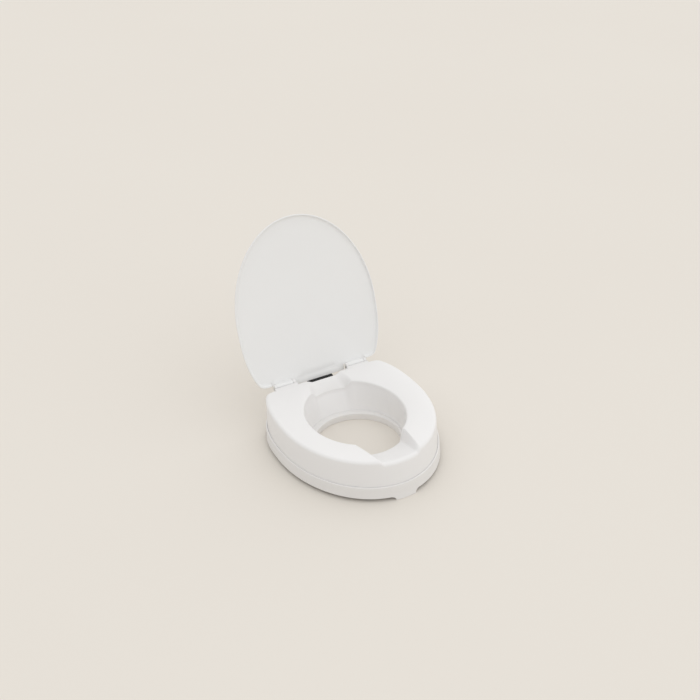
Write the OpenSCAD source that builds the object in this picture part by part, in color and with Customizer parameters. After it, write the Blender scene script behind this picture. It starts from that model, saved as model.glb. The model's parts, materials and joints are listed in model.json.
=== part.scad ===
// Raised toilet seat with a hinged lid, millimetres, +Z up, front of the seat towards -Y.
// The seat stands on the lower edge of its collar and on its front tongue, lid open.

/* [Seat shell] */
// Half width of the wall at the top of the seat
top_half_w = 185; // [180:0.5:195]
// Widest line to the front of the wall, at the top
top_front = 226; // [220:0.5:240]
// Half length of the rear curve, at the top
top_rear = 211.5; // [205:0.5:220]
// Widest line to the straight rear edge, at the top
top_cut = 145; // [140:0.5:150]
// Height of the seat's crown above the floor
seat_h = 97.6; // [90:0.1:110]
// Half width of the wall at the foot
foot_half_w = 192; // [185:0.5:200]
// Widest line to the front of the wall, at the foot
foot_front = 242; // [228:0.5:245]
// Half length of the rear curve, at the foot
foot_rear = 176; // [172:0.5:190]
// Widest line to the straight rear edge, at the foot
foot_cut = 137; // [130:0.5:142]
// Power of the rear curve
rear_power = 2.65; // [2.2:0.05:3.2]
// Wall thickness of the mouldings
wall = 3; // [2.4:0.1:3.6]
// Radius of the outer top edge
edge_r = 7; // [6:0.5:12]

/* [Opening] */
// Half width of the opening at the lip
lip_half_w = 117; // [110:0.5:120]
// Half length of the opening at the lip
lip_half_l = 130; // [122:0.5:134]
// Centre of the lip, forward of the widest line
lip_back = 15; // [10:0.5:20]
// Height of the plain lip
lip_z = 90; // [86:0.5:94]
// Radius of the lip
lip_r = 5; // [3:0.5:6]
// Half width of the inner wall at the foot
well_half_w = 113; // [110:0.5:116]
// Half length of the inner wall at the foot
well_half_l = 108; // [104:0.5:112]
// Centre of the inner wall's foot, forward of the widest line
well_back = 22; // [18:0.5:26]

/* [Hygiene recesses] */
// Height of the front recess at the lip
front_lip_z = 60; // [54:0.5:70]
// Height of the front recess at the rim
front_rim_z = 90; // [84:0.5:94]
// Height of the rear recess at the lip
rear_lip_z = 71; // [64:0.5:80]
// Height of the rear recess at the rim
rear_rim_z = 90.5; // [82:0.5:92]

/* [Base ring] */
// Height of the band's lower edge
band_low = 8.5; // [6:0.5:12]
// Height of the band's shoulder
band_high = 36; // [28:0.5:38]
// How far the band stands out from the wall
band_out = 3.6; // [2.6:0.1:4.5]
// Underside of the plate that lies over the bowl's rim
plate_z = 15; // [13:0.5:18]
// Half width of the collar's opening
collar_half_w = 105; // [100:0.5:107]
// Half length of the collar's opening
collar_half_l = 100; // [95:0.5:103]
// Centre of the collar, forward of the widest line
collar_back = 30; // [26:0.5:32]
// Half width of the tongue where it stands on the floor
tongue_low_half_w = 25; // [20:1:32]
// Half width of the tongue where it leaves the band
tongue_high_half_w = 39; // [34:1:46]

/* [Lid] */
// Half width of the lid
lid_half_w = 188.5; // [186:0.5:192]
// Lid's widest line to its front
lid_front = 241.7; // [236:0.1:246]
// Half length of the lid's rear curve
lid_rear = 220.8; // [214:0.1:226]
// Lid's widest line to its rear corners
lid_cut = 153; // [150:0.5:156]
// Angle from shut to open
lid_open = 110.3; // [100:0.1:115]
// Depth of the lid below its outer face, at the rim
lid_depth = 11.6; // [9:0.1:14]
// Thickness of the lid's skirt
skirt = 2.5; // [2:0.1:3]
// Height of the crown in the middle of the lid
lid_crown = 4; // [0:0.5:8]

/* [Hinge] */
// Hinge axis behind the widest line
hinge_y = 157; // [155:0.5:159]
// Hinge axis above the floor
hinge_z = 95.4; // [94:0.1:96]
// Radius of the hinge pins
pin_r = 3; // [2.5:0.1:3.4]
// Radius of the lid's knuckles
knuckle_r = 6; // [5:0.1:6.2]
// Radius of the seat's hinge ears
ear_r = 6.5; // [5.5:0.1:6.8]
// Inner face of the inner ear, from the middle
ear_in = 71; // [66:0.5:74]
// Outer face of the outer ear, from the middle
ear_out = 128; // [124:0.5:132]
// Thickness of an ear
ear_t = 6.5; // [5:0.5:8]

/* [Clamps, pads and fasteners] */
// Distance of each clamp from the middle
clamp_x = 46; // [40:1:52]
// Clamp screw behind the widest line, clamp drawn in
clamp_y = 97; // [95:0.5:100]
// Travel of a clamp shoe
clamp_travel = 18; // [10:1:20]
// Radius of the clamp screw's shank
clamp_r = 3; // [2.5:0.1:3.5]
// Half width of the lid's rubber stop
stop_half_w = 34; // [30:1:40]
// Middle of the rubber stop, behind the widest line
stop_y = 161; // [158:0.5:164]
// Height of the shelf under the rubber stop
shelf_z = 72; // [68:0.5:74]

/* [Hidden] */

$fn = 48;
eps = 0.01;
plate_top = plate_z + wall;
gap = 0.2;                       // clearance between mouldings that fit together
nest = 0.6;                      // clearance round the shell inside the band
run = 0.08;                      // clearance of a pin that turns in a bore
rim_plane = 3;                   // lid's rim above the hinge axis, lid shut
lid_y = hinge_y - 2.6 - lid_cut; // lid's widest line, lid shut
lid_top = rim_plane + lid_depth; // lid's outer face above the hinge axis, lid shut
tail_y = 10.8;                   // rear flap behind the hinge axis, lid shut
tail_half_w = ear_in - 1;
stop_top = hinge_z - 14;         // just under the open lid's rear flap
block_y = hinge_y - knuckle_r - 1; // rear face of the hinge blocks
open_tip_y = hinge_y - (hinge_y - lid_y + lid_front) * cos(lid_open) + (lid_top - lid_crown - 2.5) * sin(lid_open);
tongue_out = 3;                  // how far the tongue's foot stands in front of the band
middle_y = (open_tip_y - foot_front - band_out - tongue_out) / 2; // middle of the open footprint

top_outline = [top_half_w, top_front, top_rear, top_cut];
foot_outline = [foot_half_w, foot_front, foot_rear, foot_cut];
lid_outline = [lid_half_w, lid_front, lid_rear, lid_cut];

// Angles round the opening, from the front, closer together at the tongue and recess edges.
half_columns = concat([0, 6.7, 13.4, 14.5, 16.7, 21], [for (a = [26:1.6:32.5]) a], [for (a = [36:7:148]) a],
    [for (a = [151:2.4:163]) a], [for (a = [168:6:180]) a]);
columns = concat(half_columns, [for (i = [len(half_columns) - 2:-1:1]) 360 - half_columns[i]]);

function mix(a, b, t) = a + (b - a) * t;
function clamp01(t) = max(0, min(1, t));
function smooth(t) = let (c = clamp01(t)) c * c * (3 - 2 * c);
function soft_min(a, b) = pow(pow(a, -36) + pow(b, -36), -1 / 36);
function grow(o, d) = [for (v = o) v + d];
function side(c) = c <= 180 ? 1 : -1;
function turn(c) = c <= 180 ? c : 360 - c;

// Distance from the centre to a D-shaped outline [half width, front, rear, cut] at angle b.
function oval(a, l, n, b) = pow(pow(abs(sin(b)) / a, n) + pow(abs(cos(b)) / l, n), -1 / n);
function reach(o, b) = b <= 90 ? oval(o[0], o[1], 2, b)
    : soft_min(oval(o[0], o[2], rear_power, b), o[3] / max(-cos(b), 0.001));
function on_outline(o, b) = reach(o, b) * [sin(b), -cos(b)];
function on_ellipse(a, l, back, u) = [a * sin(u), -back - l * cos(u)];

// The outer end of a column that leaves the opening at angle u.
function outer_angle(u) = lookup(u, [[0, 0], [31, 13.8], [90, 90], [120, 134], [152, 161], [180, 180]]);
function wall_outline(z) = mix(foot_outline, top_outline, z / seat_h);
function lip_point(u, d) = on_ellipse(lip_half_w + d, lip_half_l + d, lip_back, u);
function well_point(u, d) = on_ellipse(well_half_w + d, well_half_l + d, well_back, u);

// Height of the seat's top, t = 0 at the lip and 1 at the outer edge; s widens the recesses.
function plain_z(t) = mix(lip_z, seat_h, 1 - pow(1 - t, 2));
function front_share(u, s) = smooth((32 + s - u) / 6);
function rear_share(u, s) = smooth((u - 151 + s) / 11);
function top_z(t, u, s) = mix(mix(plain_z(t), mix(front_lip_z, front_rim_z, t), front_share(u, s)),
    mix(rear_lip_z, rear_rim_z, t), rear_share(u, s));

function flip(c, p, z) = [side(c) * p[0], p[1], z];
function outer_ring(z, d) = [for (c = columns) flip(c, on_outline(grow(wall_outline(z), d), outer_angle(turn(c))), z)];
function edge_ring(a, r, d, s) = [for (c = columns)
    let (u = turn(c), z = top_z(1, u, s) - d - r * (1 - sin(a)))
    flip(c, on_outline(grow(wall_outline(z), -d - r * (1 - cos(a))), outer_angle(u)), z)];
function top_ring(t, d, s) = [for (c = columns)
    let (u = turn(c), z = top_z(t, u, s),
        a = lip_point(u, lip_r), b = on_outline(grow(wall_outline(z), -edge_r), outer_angle(u)))
    flip(c, mix(a, b, t), z - d)];
function lip_ring(a, d, s) = [for (c = columns)
    let (u = turn(c)) flip(c, lip_point(u, lip_r - (lip_r - d) * sin(a)), top_z(0, u, s) - lip_r + (lip_r - d) * cos(a))];
function well_ring(t, d, s) = [for (c = columns)
    let (u = turn(c), z = mix(plate_top + gap, top_z(0, u, s) - lip_r, t))
    flip(c, mix(well_point(u, d), lip_point(u, d), t), z)];

// Skin between rings of equal length, outer ones first and upwards; the last ring joins the
// first, or both ends are capped.
module skin(rings, capped) {
    n = len(rings[0]);
    m = len(rings);
    last = capped ? m - 2 : m - 1;
    polyhedron(points = [for (r = rings) each r],
        faces = concat(
            [for (i = [0:last], j = [0:n - 1]) let (k = (i + 1) % m, q = (j + 1) % n)
                [i * n + j, k * n + q, i * n + q]],
            [for (i = [0:last], j = [0:n - 1]) let (k = (i + 1) % m, q = (j + 1) % n)
                [i * n + j, k * n + j, k * n + q]],
            capped ? [[for (j = [0:n - 1]) j], [for (j = [n - 1:-1:0]) (m - 1) * n + j]] : []));
}

module placed() { translate([0, -middle_y, 0]) children(); }
module both_sides() { children(); mirror([1, 0, 0]) children(); }
module along_x(x0, x1, y, z, r) { translate([x0, y, z]) rotate([0, 90, 0]) cylinder(r = r, h = x1 - x0); }
module box(lo, hi) { translate(lo) cube(hi - lo); }

// Seat shell: top, outer wall and inner wall of the seat, open underneath.
screw_places = [[154, -60], [150, 70], [70, -192]];
module shell_skin() {
    skin([outer_ring(plate_top + gap, 0), outer_ring(band_high + 2, 0), outer_ring(62, 0),
        edge_ring(0, edge_r, 0, 0), edge_ring(30, edge_r, 0, 0), edge_ring(60, edge_r, 0, 0),
        top_ring(1, 0, 0), top_ring(0.7, 0, 0), top_ring(0.4, 0, 0), top_ring(0.15, 0, 0), top_ring(0, 0, 0),
        lip_ring(45, 0, 0), well_ring(1, 0, 0), well_ring(0.5, 0, 0), well_ring(0, 0, 0),
        well_ring(0, wall, 1.4), well_ring(0.5, wall, 1.4), well_ring(1, wall, 1.4),
        top_ring(0.04, wall, 1.4), top_ring(0.4, wall, 1.4), top_ring(0.96, wall, 1.4),
        edge_ring(45, edge_r - wall, wall, 1.4), edge_ring(0, edge_r - wall, wall, 1.4),
        outer_ring(62, -wall), outer_ring(plate_top + gap, -wall)], false);
}
module hinge_block() {
    difference() {
        union() {
            box([ear_in - 2, top_cut - 12, hinge_z - 18], [ear_out + 2, block_y, seat_h - 0.4]);
            for (x = [ear_in, ear_out - ear_t]) {
                along_x(x, x + ear_t, hinge_y, hinge_z, ear_r);
                box([x, hinge_y - 9, hinge_z - 14], [x + ear_t, hinge_y + 3, hinge_z]);
            }
        }
        along_x(ear_in - 5, ear_out + 5, hinge_y, hinge_z, pin_r);
    }
}
module stop_shelf() {
    w = stop_half_w + 5;
    box([-w, top_cut - 3.5, shelf_z - 4], [w, stop_y + 10, shelf_z]);
    for (x = [-w, w - 4]) box([x, top_cut - 3.5, shelf_z - 12], [x + 4, stop_y - 4, shelf_z - 4 + eps]);
}
module post(p) { z = plate_top + 2 + gap; translate([p[0], p[1], z]) cylinder(r = 4.5, h = seat_h - 2.1 - z); }
module seat_shell() {
    color("white") placed() difference() {
        union() {
            shell_skin();
            both_sides() hinge_block();
            stop_shelf();
            both_sides() for (p = screw_places) post(p);
        }
        both_sides() for (p = screw_places)
            translate([p[0], p[1], plate_top]) cylinder(r = 1.9, h = 16);
        for (x = [-22, 22]) translate([x, stop_y, shelf_z - 6]) cylinder(r = 3, h = 8);
    }
}

// Base ring: plate over the bowl's rim, outer band with its tongue, and collar.
function collar_ring(z, d) = [for (c = columns)
    flip(c, on_ellipse(collar_half_w + d, collar_half_l + d, collar_back, turn(c)), z)];
// The band's lower edge, which comes down to the floor and out along the tongue at the front.
function hem_z(u, x) = u > 90 ? band_low : band_low * lookup(x, [[tongue_low_half_w, 0],
    [tongue_low_half_w + 2, 0.4], [tongue_low_half_w + 6, 0.75], [tongue_high_half_w, 1]]);
function hem_ring(d) = [for (c = columns)
    let (b = outer_angle(turn(c)), o = grow(wall_outline(band_low), d), z = hem_z(turn(c), on_outline(o, b)[0]))
    flip(c, on_outline(grow(o, tongue_out * (1 - z / band_low)), b), z)];
module ring_skin() {
    o = band_out;
    skin([hem_ring(o + 0.6), outer_ring(band_low + 1, o + 0.57), outer_ring(band_high - 5, o),
        outer_ring(band_high - 2, o - 0.6), outer_ring(band_high, o - 2.2), outer_ring(band_high, nest),
        outer_ring(plate_top, nest), collar_ring(plate_top, 2.5), collar_ring(plate_top - 0.7, 0.7),
        collar_ring(plate_top - 2.5, 0), collar_ring(0, 0), collar_ring(0, wall), collar_ring(plate_z, wall),
        outer_ring(plate_z, nest), outer_ring(band_low + 1, nest), hem_ring(nest)], false);
}
module clamp_slot(r, z0, z1) {
    box([clamp_x - r, clamp_y, z0], [clamp_x + r, clamp_y + clamp_travel, z1]);
    for (y = [clamp_y, clamp_y + clamp_travel]) translate([clamp_x, y, z0]) cylinder(r = r, h = z1 - z0);
}
module base_ring() {
    color("white") placed() difference() {
        union() {
            ring_skin();
            both_sides() for (p = screw_places)
                translate([p[0], p[1], plate_top - eps]) cylinder(r = 6, h = 2 + eps);
        }
        both_sides() {
            clamp_slot(clamp_r + 0.4, plate_z - 1, plate_top + 1);
            for (p = screw_places) translate([p[0], p[1], 0]) {
                cylinder(r = 2.1, h = 30);
                cylinder(r = 4.3, h = plate_z + 2.5);
            }
        }
    }
}

// Lid, drawn shut round the hinge axis and turned open.
module opened() { translate([0, hinge_y, hinge_z]) rotate([-lid_open, 0, 0]) children(); }
function lid_ring(k, d, z) = [for (c = columns)
    let (p = k * on_outline(grow(lid_outline, -d), turn(c))) [side(c) * p[0], p[1] + lid_y - hinge_y, z]];
module lid_dish() {
    top = lid_top - lid_crown;
    skin([lid_ring(0.3, 0, lid_top - 2.6), lid_ring(0.9, 0, top - 2.4), lid_ring(1, skirt + 0.5, top - 3),
        lid_ring(1, skirt, rim_plane), lid_ring(1, 0, rim_plane), lid_ring(1, 0.8, top - 3),
        lid_ring(1, 2.5, top - 1.2), lid_ring(1, 6, top), lid_ring(0.9, 0, lid_top - 0.8 * lid_crown),
        lid_ring(0.65, 0, lid_top - 0.3 * lid_crown), lid_ring(0.3, 0, lid_top)], true);
}
module knuckle() {
    along_x(ear_in + ear_t + 0.5, ear_out - ear_t - 0.5, 0, 0, knuckle_r);
    box([ear_in + ear_t + 0.5, -knuckle_r, 0], [ear_out - ear_t - 0.5, knuckle_r - 1, lid_top - lid_crown - 1]);
}
module lid() {
    back = lid_cut + lid_y - hinge_y;
    top = lid_top - lid_crown;
    color("white") placed() opened() difference() {
        union() {
            difference() {
                lid_dish();
                box([-ear_out - 3, back - 4, 0], [ear_out + 3, back + 8, top - 3]);
            }
            both_sides() knuckle();
            box([-tail_half_w, back - 6, top - 3], [tail_half_w, tail_y, top - 0.5]);
        }
        both_sides() along_x(ear_in, ear_out, 0, 0, pin_r + run);
    }
}

module hinge_pin() {
    along_x(ear_in - 0.5, ear_out, hinge_y, hinge_z, pin_r);
    along_x(ear_out, ear_out + 2, hinge_y, hinge_z, pin_r + 1.5);
}
module hinge_pin_left() { color("gainsboro") placed() mirror([1, 0, 0]) hinge_pin(); }
module hinge_pin_right() { color("gainsboro") placed() hinge_pin(); }

// Rubber stop that the open lid's rear flap leans on.
module lid_stop() {
    x = stop_half_w;
    y = stop_y;
    h = stop_top - shelf_z;
    color([0.04, 0.04, 0.04]) placed() {
        box([5 - x, y - 8.5, shelf_z], [x - 5, y + 8.5, stop_top]);
        box([-x, y - 3.5, shelf_z], [x, y + 3.5, stop_top]);
        for (p = [5 - x, x - 5], q = [y - 3.5, y + 3.5]) translate([p, q, shelf_z]) cylinder(r = 5, h = h);
        for (p = [-22, 22]) translate([p, y, shelf_z - 5]) cylinder(r = 3, h = 6);
    }
}

// Rear clamp: shoe under the plate, rubber grip, coin-slot screw, washer and square nut.
module clamp_shoe() {
    x = clamp_x;
    difference() {
        union() {
            box([x - 14, clamp_y - 12, 1.2], [x + 14, clamp_y + 9, plate_z - 0.3]);
            box([x - 10, clamp_y + 9 - eps, 1.2], [x + 10, clamp_y + 11, plate_z - 3]);
        }
        translate([x, clamp_y, 0]) cylinder(r = clamp_r + 0.4, h = 20);
        translate([x, clamp_y, 0]) cylinder(r = 7.5, h = 6);
    }
}
module grip_pad() { box([clamp_x - 13, clamp_y + 11, 1.6], [clamp_x + 13, clamp_y + 13.5, plate_z - 2]); }
module clamp_screw() {
    translate([clamp_x, clamp_y, 0]) difference() {
        union() {
            translate([0, 0, 1.6]) cylinder(r = 7, h = 4.3);
            translate([0, 0, 5.8]) cylinder(r = clamp_r, h = 21);
        }
        box([-6, -0.9, 1], [6, 0.9, 3.4]);
    }
}
module clamp_washer() {
    translate([clamp_x, clamp_y, plate_top + 0.2]) difference() {
        cylinder(r = 7, h = 1.2);
        translate([0, 0, -1]) cylinder(r = clamp_r + 0.4, h = 4);
    }
}
module clamp_nut() {
    translate([clamp_x, clamp_y, 0]) difference() {
        box([-6.5, -6.5, plate_top + 1.5], [6.5, 6.5, plate_top + 6.5]);
        translate([0, 0, plate_top]) cylinder(r = clamp_r + run, h = 10);
    }
}
module clamp_shoe_left() { color("white") placed() mirror([1, 0, 0]) clamp_shoe(); }
module clamp_shoe_right() { color("white") placed() clamp_shoe(); }
module grip_pad_left() { color("dimgray") placed() mirror([1, 0, 0]) grip_pad(); }
module grip_pad_right() { color("dimgray") placed() grip_pad(); }
module clamp_screw_left() { color("silver") placed() mirror([1, 0, 0]) clamp_screw(); }
module clamp_screw_right() { color("silver") placed() clamp_screw(); }
module clamp_washer_left() { color("silver") placed() mirror([1, 0, 0]) clamp_washer(); }
module clamp_washer_right() { color("silver") placed() clamp_washer(); }
module clamp_nut_left() { color("silver") placed() mirror([1, 0, 0]) clamp_nut(); }
module clamp_nut_right() { color("silver") placed() clamp_nut(); }

// Non-slip pads under the plate, where it lies on the bowl.
module rim_pad(x, y, a) {
    translate([x, y, plate_z - 2]) rotate([0, 0, a]) {
        translate([-6, -17, 0]) cube([12, 34, 2]);
        for (q = [-17, 17]) translate([0, q, 0]) cylinder(r = 6, h = 2);
    }
}
module rim_pad_front_left() { color("dimgray") placed() rim_pad(-124, -130, -36); }
module rim_pad_front_right() { color("dimgray") placed() rim_pad(124, -130, 36); }
module rim_pad_rear_left() { color("dimgray") placed() rim_pad(-146, 20, 5); }
module rim_pad_rear_right() { color("dimgray") placed() rim_pad(146, 20, -5); }

// Six self-tapping screws that hold the base ring to the shell.
module shell_screws() {
    color("silver") placed() both_sides() for (p = screw_places) translate([p[0], p[1], 0]) {
        translate([0, 0, plate_z + 0.3]) cylinder(r = 3.9, h = 2.2);
        translate([0, 0, plate_z + 2]) cylinder(r = 1.9, h = 16);
    }
}

seat_shell();
base_ring();
lid();
hinge_pin_left();
hinge_pin_right();
lid_stop();
clamp_shoe_left();
clamp_shoe_right();
grip_pad_left();
grip_pad_right();
clamp_screw_left();
clamp_screw_right();
clamp_washer_left();
clamp_washer_right();
clamp_nut_left();
clamp_nut_right();
rim_pad_front_left();
rim_pad_front_right();
rim_pad_rear_left();
rim_pad_rear_right();
shell_screws();
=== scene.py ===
"""Raised toilet seat, lid open: mouldings, hinge, rubber stop, clamps, pads and screws."""

import json
from math import atan2, cos, degrees, pi, radians, sin, sqrt

import bmesh
import bpy
from mathutils import Matrix, Vector


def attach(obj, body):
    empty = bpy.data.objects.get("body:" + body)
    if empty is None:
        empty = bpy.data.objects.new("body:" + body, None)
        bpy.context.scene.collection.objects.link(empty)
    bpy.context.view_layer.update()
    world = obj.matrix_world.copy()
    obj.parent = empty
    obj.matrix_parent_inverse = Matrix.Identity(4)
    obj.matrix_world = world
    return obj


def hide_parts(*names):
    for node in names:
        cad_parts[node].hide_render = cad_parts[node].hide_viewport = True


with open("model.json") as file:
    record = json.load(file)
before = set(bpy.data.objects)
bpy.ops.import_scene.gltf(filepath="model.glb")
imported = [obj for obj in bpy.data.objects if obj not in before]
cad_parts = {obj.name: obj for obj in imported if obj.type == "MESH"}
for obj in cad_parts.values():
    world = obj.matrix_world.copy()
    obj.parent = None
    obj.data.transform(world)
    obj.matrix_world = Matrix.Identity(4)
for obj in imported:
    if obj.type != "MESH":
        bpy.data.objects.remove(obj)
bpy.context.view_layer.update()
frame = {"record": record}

# ---------------------------------------------------------------- sizes, in millimetres
# y counts from the seat's widest line, forward is negative; z counts from the floor.

MM = 0.001
JOINTS = {joint["name"]: joint for joint in frame["record"]["behaviour"]["joints"]}

HINGE_Y = 157.0
HINGE_Z = 95.4
LID_OPEN = 110.3
WIDEST_Y = JOINTS["lid_hinge"]["pos_m"][1] / MM - HINGE_Y

TOP_OUTLINE = (185.0, 226.0, 211.5, 145.0)  # half width, front, rear curve, straight cut
FOOT_OUTLINE = (192.0, 242.0, 176.0, 137.0)
LID_OUTLINE = (188.5, 241.7, 220.8, 153.0)
REAR_POWER = 2.65
CORNER_POWER = 36
SEAT_H = 97.6
WALL = 3.0
CREASE = 32  # degrees between faces from which an edge stays sharp
WELD = 0.0005  # points of a skin this close are one
EDGE_R = 7.0
GAP = 0.2
NEST = 0.6  # clearance round the shell inside the band

LIP = (117.0, 130.0, 15.0)  # half width, half length, how far forward of the widest line
WELL = (113.0, 108.0, 22.0)
COLLAR = (105.0, 100.0, 30.0)
LIP_Z = 90.0
LIP_R = 5.0
FRONT_RECESS = (60.0, 90.0)  # height at the lip and at the rim
REAR_RECESS = (71.0, 90.5)
UNDER_WIDER = 1.4  # degrees by which the recesses are wider on the underside

PLATE_Z = 15.0
PLATE_TOP = PLATE_Z + WALL
BAND_LOW = 8.5
BAND_HIGH = 36.0
BAND_OUT = 3.6
TONGUE = (25.0, 39.0)  # half width on the floor and where it leaves the band
TONGUE_OUT = 3.0

RIM_PLANE = 3.0  # lid's rim above the hinge axis, lid shut
LID_TOP = 14.6
LID_CROWN = 4.0
LID_EDGE = LID_TOP - LID_CROWN
LID_CUT = LID_OUTLINE[3]
LID_Y = HINGE_Y - 2.6 - LID_CUT
LID_WALL = 2.5
TAIL_Y = 10.8

EAR_IN = 71.0
EAR_OUT = 128.0
EAR_T = 6.5
EAR_R = 6.5
EAR_DEEP = 14.0
HINGE_BLOCK_DEEP = 18.0
KNUCKLE_R = 6.0
PIN_R = 3.0

CLAMP_X = 46.0
CLAMP_Y = 97.0
CLAMP_TRAVEL = 18.0
CLAMP_R = 3.0
CLAMP_HEAD_R = 7.0
CLAMP_RIDGES = 18
RIDGE_RISE = 0.45
SHOE_HALF_W = 14
SHOE_FRONT = 12
SHOE_BACK = 9
NUT_HALF_W = 6.5
STOP_HALF_W = 34.0
STOP_Y = 161.0
STOP_TOP = HINGE_Z - EAR_DEEP
SHELF_TOP = 72.0
SCREW_POST_R = 4.5
SCREW_WELL_R = 4.3
SCREW_HEAD_R = 3.9
SCREW_PLACES = ((154, -60), (150, 70), (70, -192))
RIM_PADS = {"front": (124, -130, 36), "rear": (146, 20, -5)}

PLACE = Matrix.Translation((0, WIDEST_Y * MM, 0)) @ Matrix.Scale(MM, 4)
PLACE_LID = PLACE @ Matrix.Translation((0, HINGE_Y, HINGE_Z)) @ Matrix.Rotation(-radians(LID_OPEN), 4, "X")


# ---------------------------------------------------------------- outlines


def mix(a, b, t):
    return a + (b - a) * t


def smooth(t):
    t = min(max(t, 0.0), 1.0)
    return t * t * (3 - 2 * t)


def oval(half_width, half_length, power, angle):
    across = abs(sin(angle)) / half_width
    along = abs(cos(angle)) / half_length
    return (across**power + along**power) ** (-1 / power)


def on_outline(outline, grow, degrees_round):
    """Point at an angle from the front on a D-shaped outline."""
    half_width, front, rear, cut = (size + grow for size in outline)
    angle = radians(degrees_round)
    if degrees_round <= 90:
        reach = oval(half_width, front, 2, angle)
    else:
        curve = oval(half_width, rear, REAR_POWER, angle)
        straight = cut / max(-cos(angle), 0.001)
        reach = (curve**-CORNER_POWER + straight**-CORNER_POWER) ** (-1 / CORNER_POWER)
    return Vector((reach * sin(angle), -reach * cos(angle)))


def on_ellipse(ellipse, grow, degrees_round):
    half_width, half_length, forward = ellipse
    angle = radians(degrees_round)
    return Vector(((half_width + grow) * sin(angle), -forward - (half_length + grow) * cos(angle)))


def wall_point(angle, z, grow):
    outline = [mix(foot, top, z / SEAT_H) for foot, top in zip(FOOT_OUTLINE, TOP_OUTLINE)]
    return on_outline(outline, grow, angle)


def spread(turn):
    """Angle on the outer wall that goes with an angle round the opening, as a smooth curve."""
    stops = ((0, 0), (31, 13.8), (90, 90), (120, 134), (152, 161), (180, 180))
    rises = [(b[1] - a[1]) / (b[0] - a[0]) for a, b in zip(stops, stops[1:])]
    slopes = [rises[0]] + [2 * a * b / (a + b) for a, b in zip(rises, rises[1:])] + [rises[-1]]
    for (a, b), (m, n) in zip(zip(stops, stops[1:]), zip(slopes, slopes[1:])):
        if turn <= b[0]:
            width = b[0] - a[0]
            t = (turn - a[0]) / width
            rest = 1 - t
            return (
                a[1] * rest * rest * (1 + 2 * t)
                + b[1] * t * t * (1 + 2 * rest)
                + width * (m * t * rest * rest - n * t * t * rest)
            )
    return 180.0


def steps(*stretches):
    """Angles from the front to the back, each stretch with its own step."""
    angles = []
    for start, end, step in stretches:
        count = round((end - start) / step)
        angles += [start + (end - start) * i / count for i in range(count)]
    return angles + [stretches[-1][1]]


SEAT_TURNS = steps((0, 13, 1), (13, 24, 0.5), (24, 36, 0.4), (36, 148, 1.4), (148, 166, 0.6), (166, 180, 1))
LID_TURNS = steps((0, 100, 1.25), (100, 122, 1), (122, 140, 0.5), (140, 180, 1.25))


# ---------------------------------------------------------------- meshes


def part():
    return bmesh.new()


def set_off(bm, matrix, verts=None):
    bmesh.ops.transform(bm, matrix=matrix, verts=verts or bm.verts)


def round_edges(bm, edges, radius, segments=3):
    if radius:
        bmesh.ops.bevel(
            bm, geom=list(edges), offset=radius, offset_type="OFFSET", segments=segments,
            profile=0.5, affect="EDGES", material=-1, clamp_overlap=True,
        )


def block(bm, low, high, radius=0.0, upright=0.0):
    """Box between two corners; upright edges can have a radius of their own."""
    low, high = Vector(low), Vector(high)
    size = high - low
    matrix = Matrix.Translation((low + high) / 2) @ Matrix.Diagonal((*size, 1))
    made = part()
    bmesh.ops.create_cube(made, size=1, matrix=matrix)
    if upright:
        tall = [e for e in made.edges if abs(e.verts[0].co.z - e.verts[1].co.z) > size.z / 2]
        round_edges(made, tall, upright, 8)
    flat = [e for e in made.edges if e.calc_face_angle(0) > radians(40)] if upright else made.edges
    round_edges(made, flat, radius)
    add(bm, made)


def rod(bm, start, end, radius, bevel=0.0, sides=64, tip=None):
    """Round bar between two points, or a cone where tip is its far radius."""
    start, end = Vector(start), Vector(end)
    axis = end - start
    made = part()
    bmesh.ops.create_cone(
        made, cap_ends=True, segments=sides, radius1=radius, radius2=radius if tip is None else tip,
        depth=axis.length,
        matrix=Matrix.Translation((start + end) / 2) @ axis.to_track_quat("Z", "Y").to_matrix().to_4x4(),
    )
    rims = [e for e in made.edges if e.calc_face_angle(0) > radians(45)]
    round_edges(made, rims, bevel)
    add(bm, made)


def add(bm, made):
    """Moves what made holds into bm."""
    mesh = bpy.data.meshes.new("part")
    made.to_mesh(mesh)
    made.free()
    bm.from_mesh(mesh)
    bpy.data.meshes.remove(mesh)


def loft(bm, turns, rings, closed=True):
    """Skin through rings. A ring is a function from an angle to a point of the right half."""
    made = part()
    column = made.verts.layers.int.new("column")
    columns = [(turn, 1) for turn in turns] + [(turn, -1) for turn in turns[-2:0:-1]]
    circle = bmesh.ops.create_circle(made, segments=len(columns), radius=1)["verts"]
    for i, vert in enumerate(circle):
        vert[column] = i
    edges = list(made.edges)
    laid = []
    for ring in rings + rings[:1] * closed:
        points = [Vector((side * x, y, z)) for (x, y, z), side in ((ring(t), s) for t, s in columns)]
        if laid:
            geom = bmesh.ops.extrude_edge_only(made, edges=edges)["geom"]
            edges = [g for g in geom if isinstance(g, bmesh.types.BMEdge)]
        verts = {vert for edge in edges for vert in edge.verts}
        for vert in verts:
            vert.co = points[vert[column]]
        laid.append(verts)
    if closed:
        bmesh.ops.remove_doubles(made, verts=list(laid[0] | laid[-1]), dist=WELD)
    else:
        bmesh.ops.holes_fill(made, edges=[e for e in made.edges if e.is_boundary], sides=0)
    bmesh.ops.recalc_face_normals(made, faces=made.faces)
    add(bm, made)


def flip(bm):
    """Mirrors a right-hand shape to the left."""
    set_off(bm, Matrix.Diagonal((-1, 1, 1, 1)))
    bmesh.ops.reverse_faces(bm, faces=bm.faces)


def mirrored(bm, build):
    """Runs build for the right side and for the left side."""
    for side in (1, -1):
        made = part()
        build(made)
        if side < 0:
            flip(made)
        add(bm, made)


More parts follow.
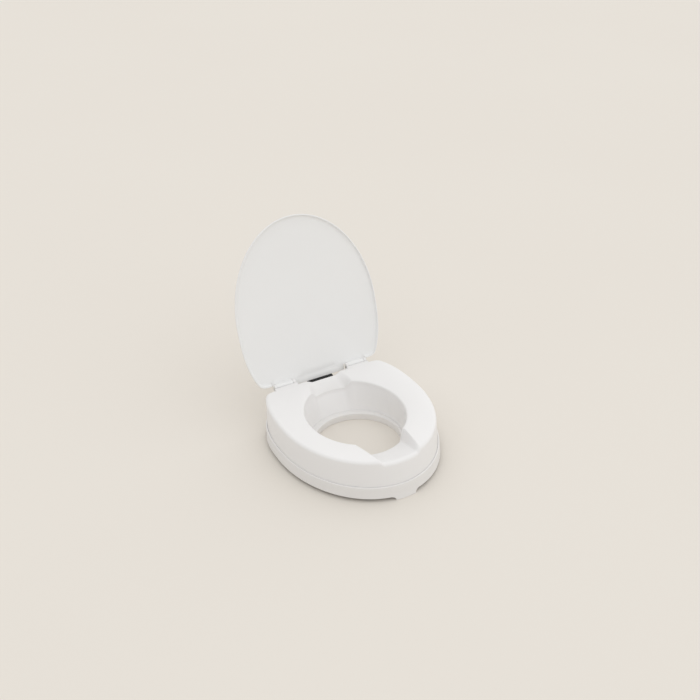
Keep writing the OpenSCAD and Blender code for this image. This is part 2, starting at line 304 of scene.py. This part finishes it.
def cut_away(piece, cutter, place=PLACE):
    """Takes the cutter's solids out of a piece."""
    set_off(cutter, place)
    tool = as_object("cutter", cutter)
    modifier = piece.modifiers.new("cut", "BOOLEAN")
    modifier.operation = "DIFFERENCE"
    modifier.solver = "EXACT"
    modifier.use_self = True
    modifier.object = tool
    bpy.context.view_layer.update()
    graph = bpy.context.evaluated_depsgraph_get()
    mesh = bpy.data.meshes.new_from_object(piece.evaluated_get(graph))
    piece.modifiers.clear()
    old = piece.data
    piece.data = mesh
    mesh.name = piece.name
    bpy.data.meshes.remove(old)
    bpy.data.objects.remove(tool)


def as_object(name, bm):
    mesh = bpy.data.meshes.new(name)
    bm.to_mesh(mesh)
    bm.free()
    piece = bpy.data.objects.new(name, mesh)
    bpy.context.scene.collection.objects.link(piece)
    return piece


def shade(piece):
    """Smooth shading, with sharp edges where faces meet at more than the crease angle."""
    bm = part()
    bm.from_mesh(piece.data)
    for face in bm.faces:
        face.smooth = True
    for edge in bm.edges:
        edge.smooth = edge.calc_face_angle(0) < radians(CREASE)
    bm.to_mesh(piece.data)
    bm.free()


def show(piece, body, nodes, finish):
    """Finishes a piece: its shading, its material, the body it rides on and the nodes it stands for."""
    shade(piece)
    piece.data.materials.clear()
    piece.data.materials.append(finish)
    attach(piece, body)
    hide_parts(*nodes)


# ---------------------------------------------------------------- materials


class Value:
    """A shader socket that takes part in Python expressions."""

    def __init__(self, tree, socket):
        self.tree = tree
        self.socket = socket

    def node(self, kind, settings=(), **inputs):
        """Adds a node, sets it and feeds its sockets; the result is its first output."""
        made = self.tree.nodes.new(kind)
        for name, value in dict(settings).items():
            setattr(made, name, value)
        for name, value in inputs.items():
            numbered = name[0] == "i" and name[1:].isdigit()
            socket = made.inputs[int(name[1:]) if numbered else name]
            if isinstance(value, Value):
                self.tree.links.new(value.socket, socket)
            else:
                socket.default_value = value
        return Value(self.tree, made.outputs[0])

    def _math(self, operation, a, b):
        return self.node("ShaderNodeMath", {"operation": operation}, i0=a, i1=b)

    def __add__(self, other):
        return self._math("ADD", self, other)

    __radd__ = __add__

    def __mul__(self, other):
        return self._math("MULTIPLY", self, other)

    __rmul__ = __mul__

    def __sub__(self, other):
        return self._math("SUBTRACT", self, other)

    def __rsub__(self, other):
        return self._math("SUBTRACT", other, self)


def material(name, **constants):
    """New material; returns it, its shader and the object coordinates."""
    made = bpy.data.materials.new(name)
    made.use_nodes = True
    shader = made.node_tree.nodes["Principled BSDF"]
    for key, value in constants.items():
        shader.inputs[key.replace("_", " ")].default_value = value
    place = made.node_tree.nodes.new("ShaderNodeTexCoord").outputs["Object"]
    return made, shader, Value(made.node_tree, place)


def noise(place, scale, detail=3.0, rough=0.5):
    return place.node("ShaderNodeTexNoise", Vector=place, Scale=scale, Detail=detail, Roughness=rough)


def two_tone(share, dark, light):
    made = share.node("ShaderNodeMix", {"data_type": "RGBA"}, Factor=share)
    mixer = made.socket.node
    mixer.inputs[6].default_value = (*dark, 1)
    mixer.inputs[7].default_value = (*light, 1)
    return Value(made.tree, mixer.outputs[2])


def feed(shader, name, value):
    value.tree.links.new(value.socket, shader.inputs[name])


def bump(shader, height, strength, distance):
    made = height.node("ShaderNodeBump", Height=height, Strength=strength, Distance=distance)
    feed(shader, "Normal", made)


def plastic(name, tint, gloss):
    """Moulded white plastic: almost even colour, soft gloss, the faintest surface waviness."""
    made, shader, place = material(name, IOR=1.5)
    clouds = noise(place, 9.0, 2.0)
    light = tuple(min(c * 1.006, 1.0) for c in tint)
    dark = tuple(c * 0.985 for c in tint)
    feed(shader, "Base Color", two_tone(clouds, dark, light))
    feed(shader, "Roughness", gloss + (noise(place, 45.0, 3.0) - 0.5) * 0.08)
    bump(shader, noise(place, 260.0, 2.0), 0.05, 0.0004)
    return made


def rubber(name, tint, dust):
    made, shader, place = material(name)
    grain = noise(place, 900.0, 4.0, 0.6)
    feed(shader, "Base Color", two_tone(noise(place, 60.0, 4.0), tint, dust))
    feed(shader, "Roughness", 0.62 + grain * 0.22)
    bump(shader, grain, 0.25, 0.0003)
    return made


def metal(name, dark, light, rough):
    """Turned metal: fine rings of tool marks under a cloudy tone."""
    made, shader, place = material(name, Metallic=1.0)
    marks = place.node(
        "ShaderNodeTexWave", {"wave_type": "RINGS", "rings_direction": "Z"},
        Vector=place, Scale=700.0, Distortion=1.5,
    )
    feed(shader, "Base Color", two_tone(noise(place, 120.0, 4.0), dark, light))
    feed(shader, "Roughness", rough + noise(place, 300.0, 4.0) * 0.18)
    bump(shader, marks, 0.08, 0.0002)
    return made


SEAT_PLASTIC = plastic("white seat moulding", (0.845, 0.835, 0.83), 0.3)
# Base tint set darker than the seat's: painted shade for the low band, which stands under the seat's
# overhang and out of the light.
SHADED_BASE_PLASTIC = plastic("white base moulding with painted shade", (0.8, 0.785, 0.77), 0.33)
# Lid tint set lighter than the seat's: partly the lid's own paler plastic, partly painted light for the
# brightly lit open lid.
LID_PLASTIC_WITH_PAINTED_LIGHT = plastic("white lid moulding with painted light", (0.865, 0.865, 0.86), 0.36)
NYLON = plastic("natural nylon", (0.76, 0.75, 0.71), 0.5)
STOP_RUBBER = rubber("black stop rubber", (0.008, 0.008, 0.008), (0.016, 0.016, 0.017))
PAD_RUBBER = rubber("grey pad rubber", (0.11, 0.11, 0.115), (0.19, 0.19, 0.195))
STEEL = metal("stainless screw steel", (0.5, 0.5, 0.5), (0.72, 0.72, 0.73), 0.22)
BRASS = metal("plain nut brass", (0.55, 0.4, 0.17), (0.78, 0.62, 0.32), 0.28)


# ---------------------------------------------------------------- seat shell


def top_z(t, turn, wider=0.0):
    """Height of the top: t is 0 at the lip and 1 at the rim, wider opens the recesses."""
    plain = mix(LIP_Z, SEAT_H, 1 - (1 - t) ** 2)
    front = smooth((32 + wider - turn) / 6)
    rear = smooth((turn - 151 + wider) / 11)
    return mix(mix(plain, mix(*FRONT_RECESS, t), front), mix(*REAR_RECESS, t), rear)


def top_span(turn):
    inner = on_ellipse(LIP, LIP_R, turn)
    outer = wall_point(spread(turn), top_z(1, turn), -EDGE_R)
    return inner, outer


def top_slope(turn, t):
    """Angle at which the top climbs outwards, in degrees."""
    inner, outer = top_span(turn)
    near, far = max(t - 0.02, 0), min(t + 0.02, 1)
    climb = (top_z(far, turn) - top_z(near, turn)) / ((far - near) * (outer - inner).length)
    return degrees(atan2(climb, 1))


def lip(share):
    """Round of the lip, from the top's slope to the inner wall."""

    def ring(turn):
        angle = radians(mix(top_slope(turn, 0), 90, share))
        x, y = on_ellipse(LIP, LIP_R - LIP_R * sin(angle), turn)
        return x, y, top_z(0, turn) - LIP_R + LIP_R * cos(angle)

    return ring


def rim(share):
    """Round of the outer edge, from the outer wall to the top's slope."""

    def ring(turn):
        angle = radians(mix(0, 90 + top_slope(turn, 1), share))
        z = top_z(1, turn) - EDGE_R * (1 - sin(angle))
        x, y = wall_point(spread(turn), z, -EDGE_R * (1 - cos(angle)))
        return x, y, z

    return ring


def top(t):
    """Line on the top between the lip's round and the rim's round."""

    def ring(turn):
        inner, outer = Vector(lip(0)(turn)), Vector(rim(1)(turn))
        x, y, _ = mix(inner, outer, t)
        low = inner.z - top_z(0, turn)
        high = outer.z - top_z(1, turn)
        return x, y, top_z(t, turn) + low * (1 - t) ** 3 + high * t**3

    return ring


def under_top(t):
    def ring(turn):
        inner, outer = top_span(turn)
        x, y = mix(inner, outer, t)
        return x, y, top_z(t, turn, UNDER_WIDER) - WALL

    return ring


def well(t, grow=0.0, wider=0.0):
    def ring(turn):
        x, y = mix(on_ellipse(WELL, grow, turn), on_ellipse(LIP, grow, turn), t)
        return x, y, mix(PLATE_TOP + GAP, top_z(0, turn, wider) - LIP_R, t)

    return ring


def outer_wall(z, grow=0.0):
    return lambda turn: (*wall_point(spread(turn), z, grow), z)


def under_rim(turn):
    z = top_z(1, turn, UNDER_WIDER) - EDGE_R
    return *wall_point(spread(turn), z, -WALL), z


def seat_shell():
    bm = part()
    rings = [outer_wall(z) for z in (PLATE_TOP + GAP, 30, 42, 54, 66)]
    rings += [rim(i / 12) for i in range(13)]
    rings += [top(1 - i / 16) for i in range(1, 16)]
    rings += [lip(i / 9) for i in range(10)]
    rings += [well(1 - i / 6) for i in range(1, 7)]
    rings += [well(t, WALL, UNDER_WIDER) for t in (0, 0.5, 1)]
    rings += [under_top(t) for t in (0.04, 0.2, 0.4, 0.6, 0.8, 0.96)]
    rings += [under_rim, outer_wall(54, -WALL), outer_wall(PLATE_TOP + GAP, -WALL)]
    loft(bm, SEAT_TURNS, rings)
    mirrored(bm, hinge_block)
    block(bm, (-STOP_HALF_W - 5, 142, SHELF_TOP - 4), (STOP_HALF_W + 5, STOP_Y + 10, SHELF_TOP), 0.6)
    for x in (-STOP_HALF_W - 5, STOP_HALF_W + 1):
        block(bm, (x, 142, SHELF_TOP - 12), (x + 4, STOP_Y - 4, SHELF_TOP - 3.5), 0.4)
    mirrored(bm, posts)
    show(as_object("seat_moulding", placed(bm)), "seat", ["seat_shell"], SEAT_PLASTIC)


def placed(bm, place=PLACE):
    set_off(bm, place)
    return bm


def hinge_block(bm):
    """Solid behind the seat's top with the two ears that hold a hinge pin."""
    back = HINGE_Y - KNUCKLE_R - 1
    block(bm, (EAR_IN - 2, 133, HINGE_Z - HINGE_BLOCK_DEEP), (EAR_OUT + 2, back, SEAT_H - 0.4), 1.2)
    for x in (EAR_IN, EAR_OUT - EAR_T):
        rod(bm, (x, HINGE_Y, HINGE_Z), (x + EAR_T, HINGE_Y, HINGE_Z), EAR_R, 0.5)
        block(bm, (x, HINGE_Y - 9, HINGE_Z - EAR_DEEP), (x + EAR_T, HINGE_Y + 3, HINGE_Z), 0.5)


def posts(bm):
    for x, y in SCREW_PLACES:
        rod(bm, (x, y, PLATE_TOP + 2.2), (x, y, SEAT_H - 2.1), SCREW_POST_R, sides=32)


# ---------------------------------------------------------------- base ring


def hem_z(turn):
    """Height of the band's lower edge, which runs down to the floor on the tongue."""
    low, high = TONGUE
    x = wall_point(spread(turn), BAND_LOW, BAND_OUT)[0]
    if turn > 90 or x >= high:
        return BAND_LOW
    share = max(x - low, 0) / (high - low)
    return BAND_LOW * sqrt(1 - (1 - share) ** 2)


def hem(grow, lift=0.0):
    def ring(turn):
        z = hem_z(turn)
        drop = TONGUE_OUT * (1 - z / BAND_LOW)
        x, y = wall_point(spread(turn), BAND_LOW, grow + drop)
        return x, y, z + lift

    return ring


def collar(z, grow):
    return lambda turn: (*on_ellipse(COLLAR, grow, turn), z)


def base_ring():
    bm = part()
    out = BAND_OUT
    quarter = [pi / 2 * i / 6 for i in range(7)]
    shoulder = [(sin(a), 1 - cos(a)) for a in quarter]
    rings = [hem(NEST + 0.5), hem(out - 0.2), hem(out + 0.3, 0.25), hem(out + 0.6, 0.9)]
    rings += [outer_wall(BAND_LOW + 1.5, out + 0.57), outer_wall(20, out + 0.3)]
    rings += [outer_wall(BAND_HIGH - 2.6 * (1 - s), out - 2.6 * c) for s, c in shoulder]
    rings += [outer_wall(BAND_HIGH, NEST), outer_wall(PLATE_TOP, NEST)]
    rings += [collar(PLATE_TOP, 2.6)]
    rings += [collar(PLATE_TOP - 2.5 * (1 - cos(a)), 2.5 * (1 - sin(a))) for a in quarter]
    rings += [collar(9, 0), collar(0.5, 0), collar(0, 0.5), collar(0, WALL - 0.5), collar(0.5, WALL)]
    rings += [collar(PLATE_Z, WALL), outer_wall(PLATE_Z, NEST)]
    rings += [outer_wall(BAND_LOW + 1.5, NEST), hem(NEST, 0.5)]
    loft(bm, SEAT_TURNS, rings)
    mirrored(bm, screw_seats)
    piece = as_object("base_moulding", placed(bm))
    cutter = part()
    mirrored(cutter, base_holes)
    cut_away(piece, cutter)
    show(piece, "seat", ["base_ring"], SHADED_BASE_PLASTIC)


def screw_seats(bm):
    for x, y in SCREW_PLACES:
        rod(bm, (x, y, PLATE_TOP - 1), (x, y, PLATE_TOP + 2), 6)


def base_holes(bm):
    for x, y in SCREW_PLACES:
        rod(bm, (x, y, 5), (x, y, PLATE_Z + 2.5), SCREW_WELL_R)
    slot = part()
    rod(slot, (CLAMP_X, CLAMP_Y, PLATE_Z - 3), (CLAMP_X, CLAMP_Y, PLATE_TOP + 3), CLAMP_R + 0.4)
    bmesh.ops.translate(slot, verts=[v for v in slot.verts if v.co.y > CLAMP_Y], vec=(0, CLAMP_TRAVEL, 0))
    add(bm, slot)


# ---------------------------------------------------------------- lid


def lid_ring(share, inset, z):
    def ring(turn):
        x, y = on_outline(LID_OUTLINE, -inset, turn) * share
        return x, y + LID_Y - HINGE_Y, z

    return ring


def lid():
    bm = part()
    fillet, edge = 5.0, 5.0
    inner_top = LID_EDGE - LID_WALL
    quarter = [pi / 2 * i / 7 for i in range(8)]
    spans = [0.02] + [i / 12 for i in range(1, 12)]
    rings = [lid_ring(k, LID_WALL + fillet, LID_TOP - LID_WALL - LID_CROWN * k * k) for k in spans]
    rings += [
        lid_ring(1, LID_WALL + 0.3 + fillet * (1 - sin(a)), inner_top - fillet * (1 - cos(a)))
        for a in quarter
    ]
    rings += [lid_ring(1, LID_WALL - 0.4, RIM_PLANE + 0.25), lid_ring(1, LID_WALL - 0.8, RIM_PLANE)]
    rings += [lid_ring(1, 0.8, RIM_PLANE), lid_ring(1, 0.3, RIM_PLANE + 0.25)]
    rings += [lid_ring(1, 0, RIM_PLANE + 0.9)]
    rings += [lid_ring(1, edge * (1 - cos(a)), LID_EDGE - edge * (1 - sin(a))) for a in quarter]
    rings += [lid_ring(k, edge, LID_TOP - LID_CROWN * k * k) for k in reversed(spans)]
    loft(bm, LID_TURNS, rings, closed=False)
    piece = as_object("lid_moulding", placed(bm, PLACE_LID))
    cutter = part()
    back = LID_CUT + LID_Y - HINGE_Y
    block(cutter, (-EAR_OUT - 3, back - 9, -5), (EAR_OUT + 3, back + 8, inner_top))
    cut_away(piece, cutter, PLACE_LID)
    fittings = part()
    half = EAR_IN - 1
    block(fittings, (-half, back - 2.5, inner_top + 0.01), (half, TAIL_Y, LID_EDGE - 0.5), 0.6)
    mirrored(fittings, knuckle)
    join(piece, placed(fittings, PLACE_LID))
    show(piece, "lid", ["lid"], LID_PLASTIC_WITH_PAINTED_LIGHT)


def join(piece, bm):
    """Adds what bm holds to a piece's mesh."""
    both = part()
    both.from_mesh(piece.data)
    add(both, bm)
    both.to_mesh(piece.data)
    both.free()


def knuckle(bm):
    low, high = EAR_IN + EAR_T + 0.5, EAR_OUT - EAR_T - 0.5
    rod(bm, (low, 0, 0), (high, 0, 0), KNUCKLE_R, 0.5)
    block(bm, (low, -KNUCKLE_R, 0), (high, KNUCKLE_R - 1, LID_EDGE - 1), 0.4)


# ---------------------------------------------------------------- small pieces


def sided(side, bm):
    """Turns a right-hand piece into the left-hand one when side is left."""
    if side == "left":
        flip(bm)
    return bm


def small(name, side, body, build, finish, node):
    bm = part()
    build(bm)
    piece = as_object(f"{name}_{side}", placed(sided(side, bm)))
    show(piece, body, [f"{node}_{side}"], finish)


def pin(bm):
    rod(bm, (EAR_IN - 0.5, HINGE_Y, HINGE_Z), (EAR_OUT, HINGE_Y, HINGE_Z), PIN_R, 0.5)
    rod(bm, (EAR_OUT, HINGE_Y, HINGE_Z), (EAR_OUT + 2, HINGE_Y, HINGE_Z), PIN_R + 1.5, 0.8)


def shoe(bm):
    x, y = CLAMP_X, CLAMP_Y
    left, right, front, back = x - SHOE_HALF_W, x + SHOE_HALF_W, y - SHOE_FRONT, y + SHOE_BACK
    block(bm, (left, front, 6), (right, back, PLATE_Z - 0.3), 0.8, 2.0)
    for low, high in (((left, front), (x - 8, back)), ((x + 8, front), (right, back))):
        block(bm, (*low, 1.2), (*high, 8), 0.8)
    for low, high in (((left, front), (right, y - 8)), ((left, y + 8), (right, y + 10.9))):
        block(bm, (*low, 1.4), (*high, PLATE_Z - 3), 0.8)


def grip(bm):
    x, y = CLAMP_X, CLAMP_Y + 11
    block(bm, (x - 13, y, 1.6), (x + 13, y + 1.7, PLATE_Z - 2), 0.4)
    for i in range(6):
        z = 2.6 + 1.8 * i
        block(bm, (x - 12.5, y + 1, z - 0.5), (x + 12.5, y + 2.5, z + 0.5), 0.3)


def clamp_screw(bm):
    x, y = CLAMP_X, CLAMP_Y
    crest, root = CLAMP_R, CLAMP_R - 0.4
    rod(bm, (x, y, 1.6), (x, y, 5.9), CLAMP_HEAD_R, 0.7)
    rod(bm, (x, y, 5.5), (x, y, 26.2), CLAMP_R - 0.35, 0.5, 48)
    for i in range(CLAMP_RIDGES):
        z = 7.2 + i
        rod(bm, (x, y, z), (x, y, z + RIDGE_RISE), root, sides=48, tip=crest)
        rod(bm, (x, y, z + RIDGE_RISE), (x, y, z + 2 * RIDGE_RISE), crest, sides=48, tip=root)


def washer(bm):
    z = PLATE_TOP + 0.2
    rod(bm, (CLAMP_X, CLAMP_Y, z), (CLAMP_X, CLAMP_Y, z + 1.2), 7, 0.25)


def nut(bm):
    x, y = CLAMP_X, CLAMP_Y
    half = NUT_HALF_W
    block(bm, (x - half, y - half, PLATE_TOP + 1.5), (x + half, y + half, PLATE_TOP + 6.5), 0.5, 1.0)


def rim_pad(place):
    x, y, turn = place

    def build(bm):
        made = part()
        block(made, (-6, -23, PLATE_Z - 1.4), (6, 23, PLATE_Z), 0.2, 5.9)
        for i in range(9):
            along = -16 + 4 * i
            block(made, (-5, along - 1.2, PLATE_Z - 2), (5, along + 1.2, PLATE_Z - 1), 0.4)
        set_off(made, Matrix.Translation((x, y, 0)) @ Matrix.Rotation(radians(turn), 4, "Z"))
        add(bm, made)

    return build


def lid_stop():
    bm = part()
    half, y = STOP_HALF_W, STOP_Y
    block(bm, (-half, y - 8.5, SHELF_TOP), (half, y + 8.5, STOP_TOP), 1.0, 4.5)
    for x in (-22, 22):
        rod(bm, (x, y, SHELF_TOP - 5), (x, y, SHELF_TOP + 1), 3, 0.5)
    show(as_object("stop_block", placed(bm)), "seat", ["lid_stop"], STOP_RUBBER)


def shell_screws():
    """Pan-head screws with a cross recess, seen from below in their wells."""
    heads, crosses = part(), part()
    mirrored(heads, screw_heads)
    mirrored(crosses, screw_crosses)
    piece = as_object("screws_up_into_shell", placed(heads))
    cut_away(piece, crosses)
    show(piece, "seat", ["shell_screws"], STEEL)


def screw_heads(bm):
    for x, y in SCREW_PLACES:
        rod(bm, (x, y, PLATE_Z + 0.3), (x, y, PLATE_Z + 2.5), SCREW_HEAD_R, 0.9, 48)


def screw_crosses(bm):
    for x, y in SCREW_PLACES:
        for turn in (20, 110):
            arm = part()
            block(arm, (-2.3, -0.45, PLATE_Z - 0.5), (2.3, 0.45, PLATE_Z + 1.6))
            set_off(arm, Matrix.Translation((x, y, 0)) @ Matrix.Rotation(radians(turn), 4, "Z"))
            add(bm, arm)


# ---------------------------------------------------------------- build

seat_shell()
base_ring()
lid()
lid_stop()
shell_screws()
for side in ("left", "right"):
    clamp = f"clamp_{side}"
    small("pin", side, "seat", pin, NYLON, "hinge_pin")
    small("shoe", side, clamp, shoe, NYLON, "clamp_shoe")
    small("grip", side, clamp, grip, PAD_RUBBER, "grip_pad")
    small("washer", side, clamp, washer, STEEL, "clamp_washer")
    small("nut", side, clamp, nut, BRASS, "clamp_nut")
    small("bolt", side, f"clamp_bolt_{side}", clamp_screw, STEEL, "clamp_screw")
    for end, place in RIM_PADS.items():
        small(f"pad_{end}", side, "seat", rim_pad(place), PAD_RUBBER, f"rim_pad_{end}")


# ---------------------------------------------------------------- floor, light and camera


def floor():
    bm = part()
    bmesh.ops.create_grid(bm, x_segments=1, y_segments=1, size=30)
    ground = as_object("floor", bm)
    made, shader, place = material("warm pale floor", Specular_IOR_Level=0.15)
    feed(shader, "Base Color", two_tone(noise(place, 0.8, 2.0), (0.76, 0.715, 0.655), (0.775, 0.735, 0.675)))
    feed(shader, "Roughness", 0.75 + noise(place, 30.0) * 0.1)
    ground.data.materials.append(made)


def key_light():
    """Broad, even light from above, a little from the right."""
    light = bpy.data.lights.new("broad key light", "SUN")
    light.energy = 1.58
    light.angle = radians(150)
    lamp = bpy.data.objects.new("broad key light", light)
    lamp.rotation_euler = Vector((0.25, 0.0, 1)).to_track_quat("Z", "Y").to_euler()
    bpy.context.scene.collection.objects.link(lamp)


def sky():
    world = bpy.data.worlds.new("soft studio")
    world.use_nodes = True
    world.node_tree.nodes["Background"].inputs["Color"].default_value = (1.0, 0.995, 0.985, 1)
    world.node_tree.nodes["Background"].inputs["Strength"].default_value = 0.55
    bpy.context.scene.world = world


def camera():
    """50 mm lens from the front left, looking down."""
    azimuth, elevation, distance = radians(-29.59), radians(32.36), 2.6818
    aim = Vector((0.1915, 0.3466 + WIDEST_Y * MM, 0))
    away = Vector((sin(azimuth) * cos(elevation), -cos(azimuth) * cos(elevation), sin(elevation)))
    lens = bpy.data.cameras.new("camera")
    lens.lens = 50
    lens.sensor_width = 36
    made = bpy.data.objects.new("camera", lens)
    made.location = aim + away * distance
    made.rotation_euler = (-away).to_track_quat("-Z", "Y").to_euler()
    bpy.context.scene.collection.objects.link(made)
    bpy.context.scene.camera = made


floor()
key_light()
sky()
camera()
bpy.context.scene.view_settings.view_transform = "Standard"
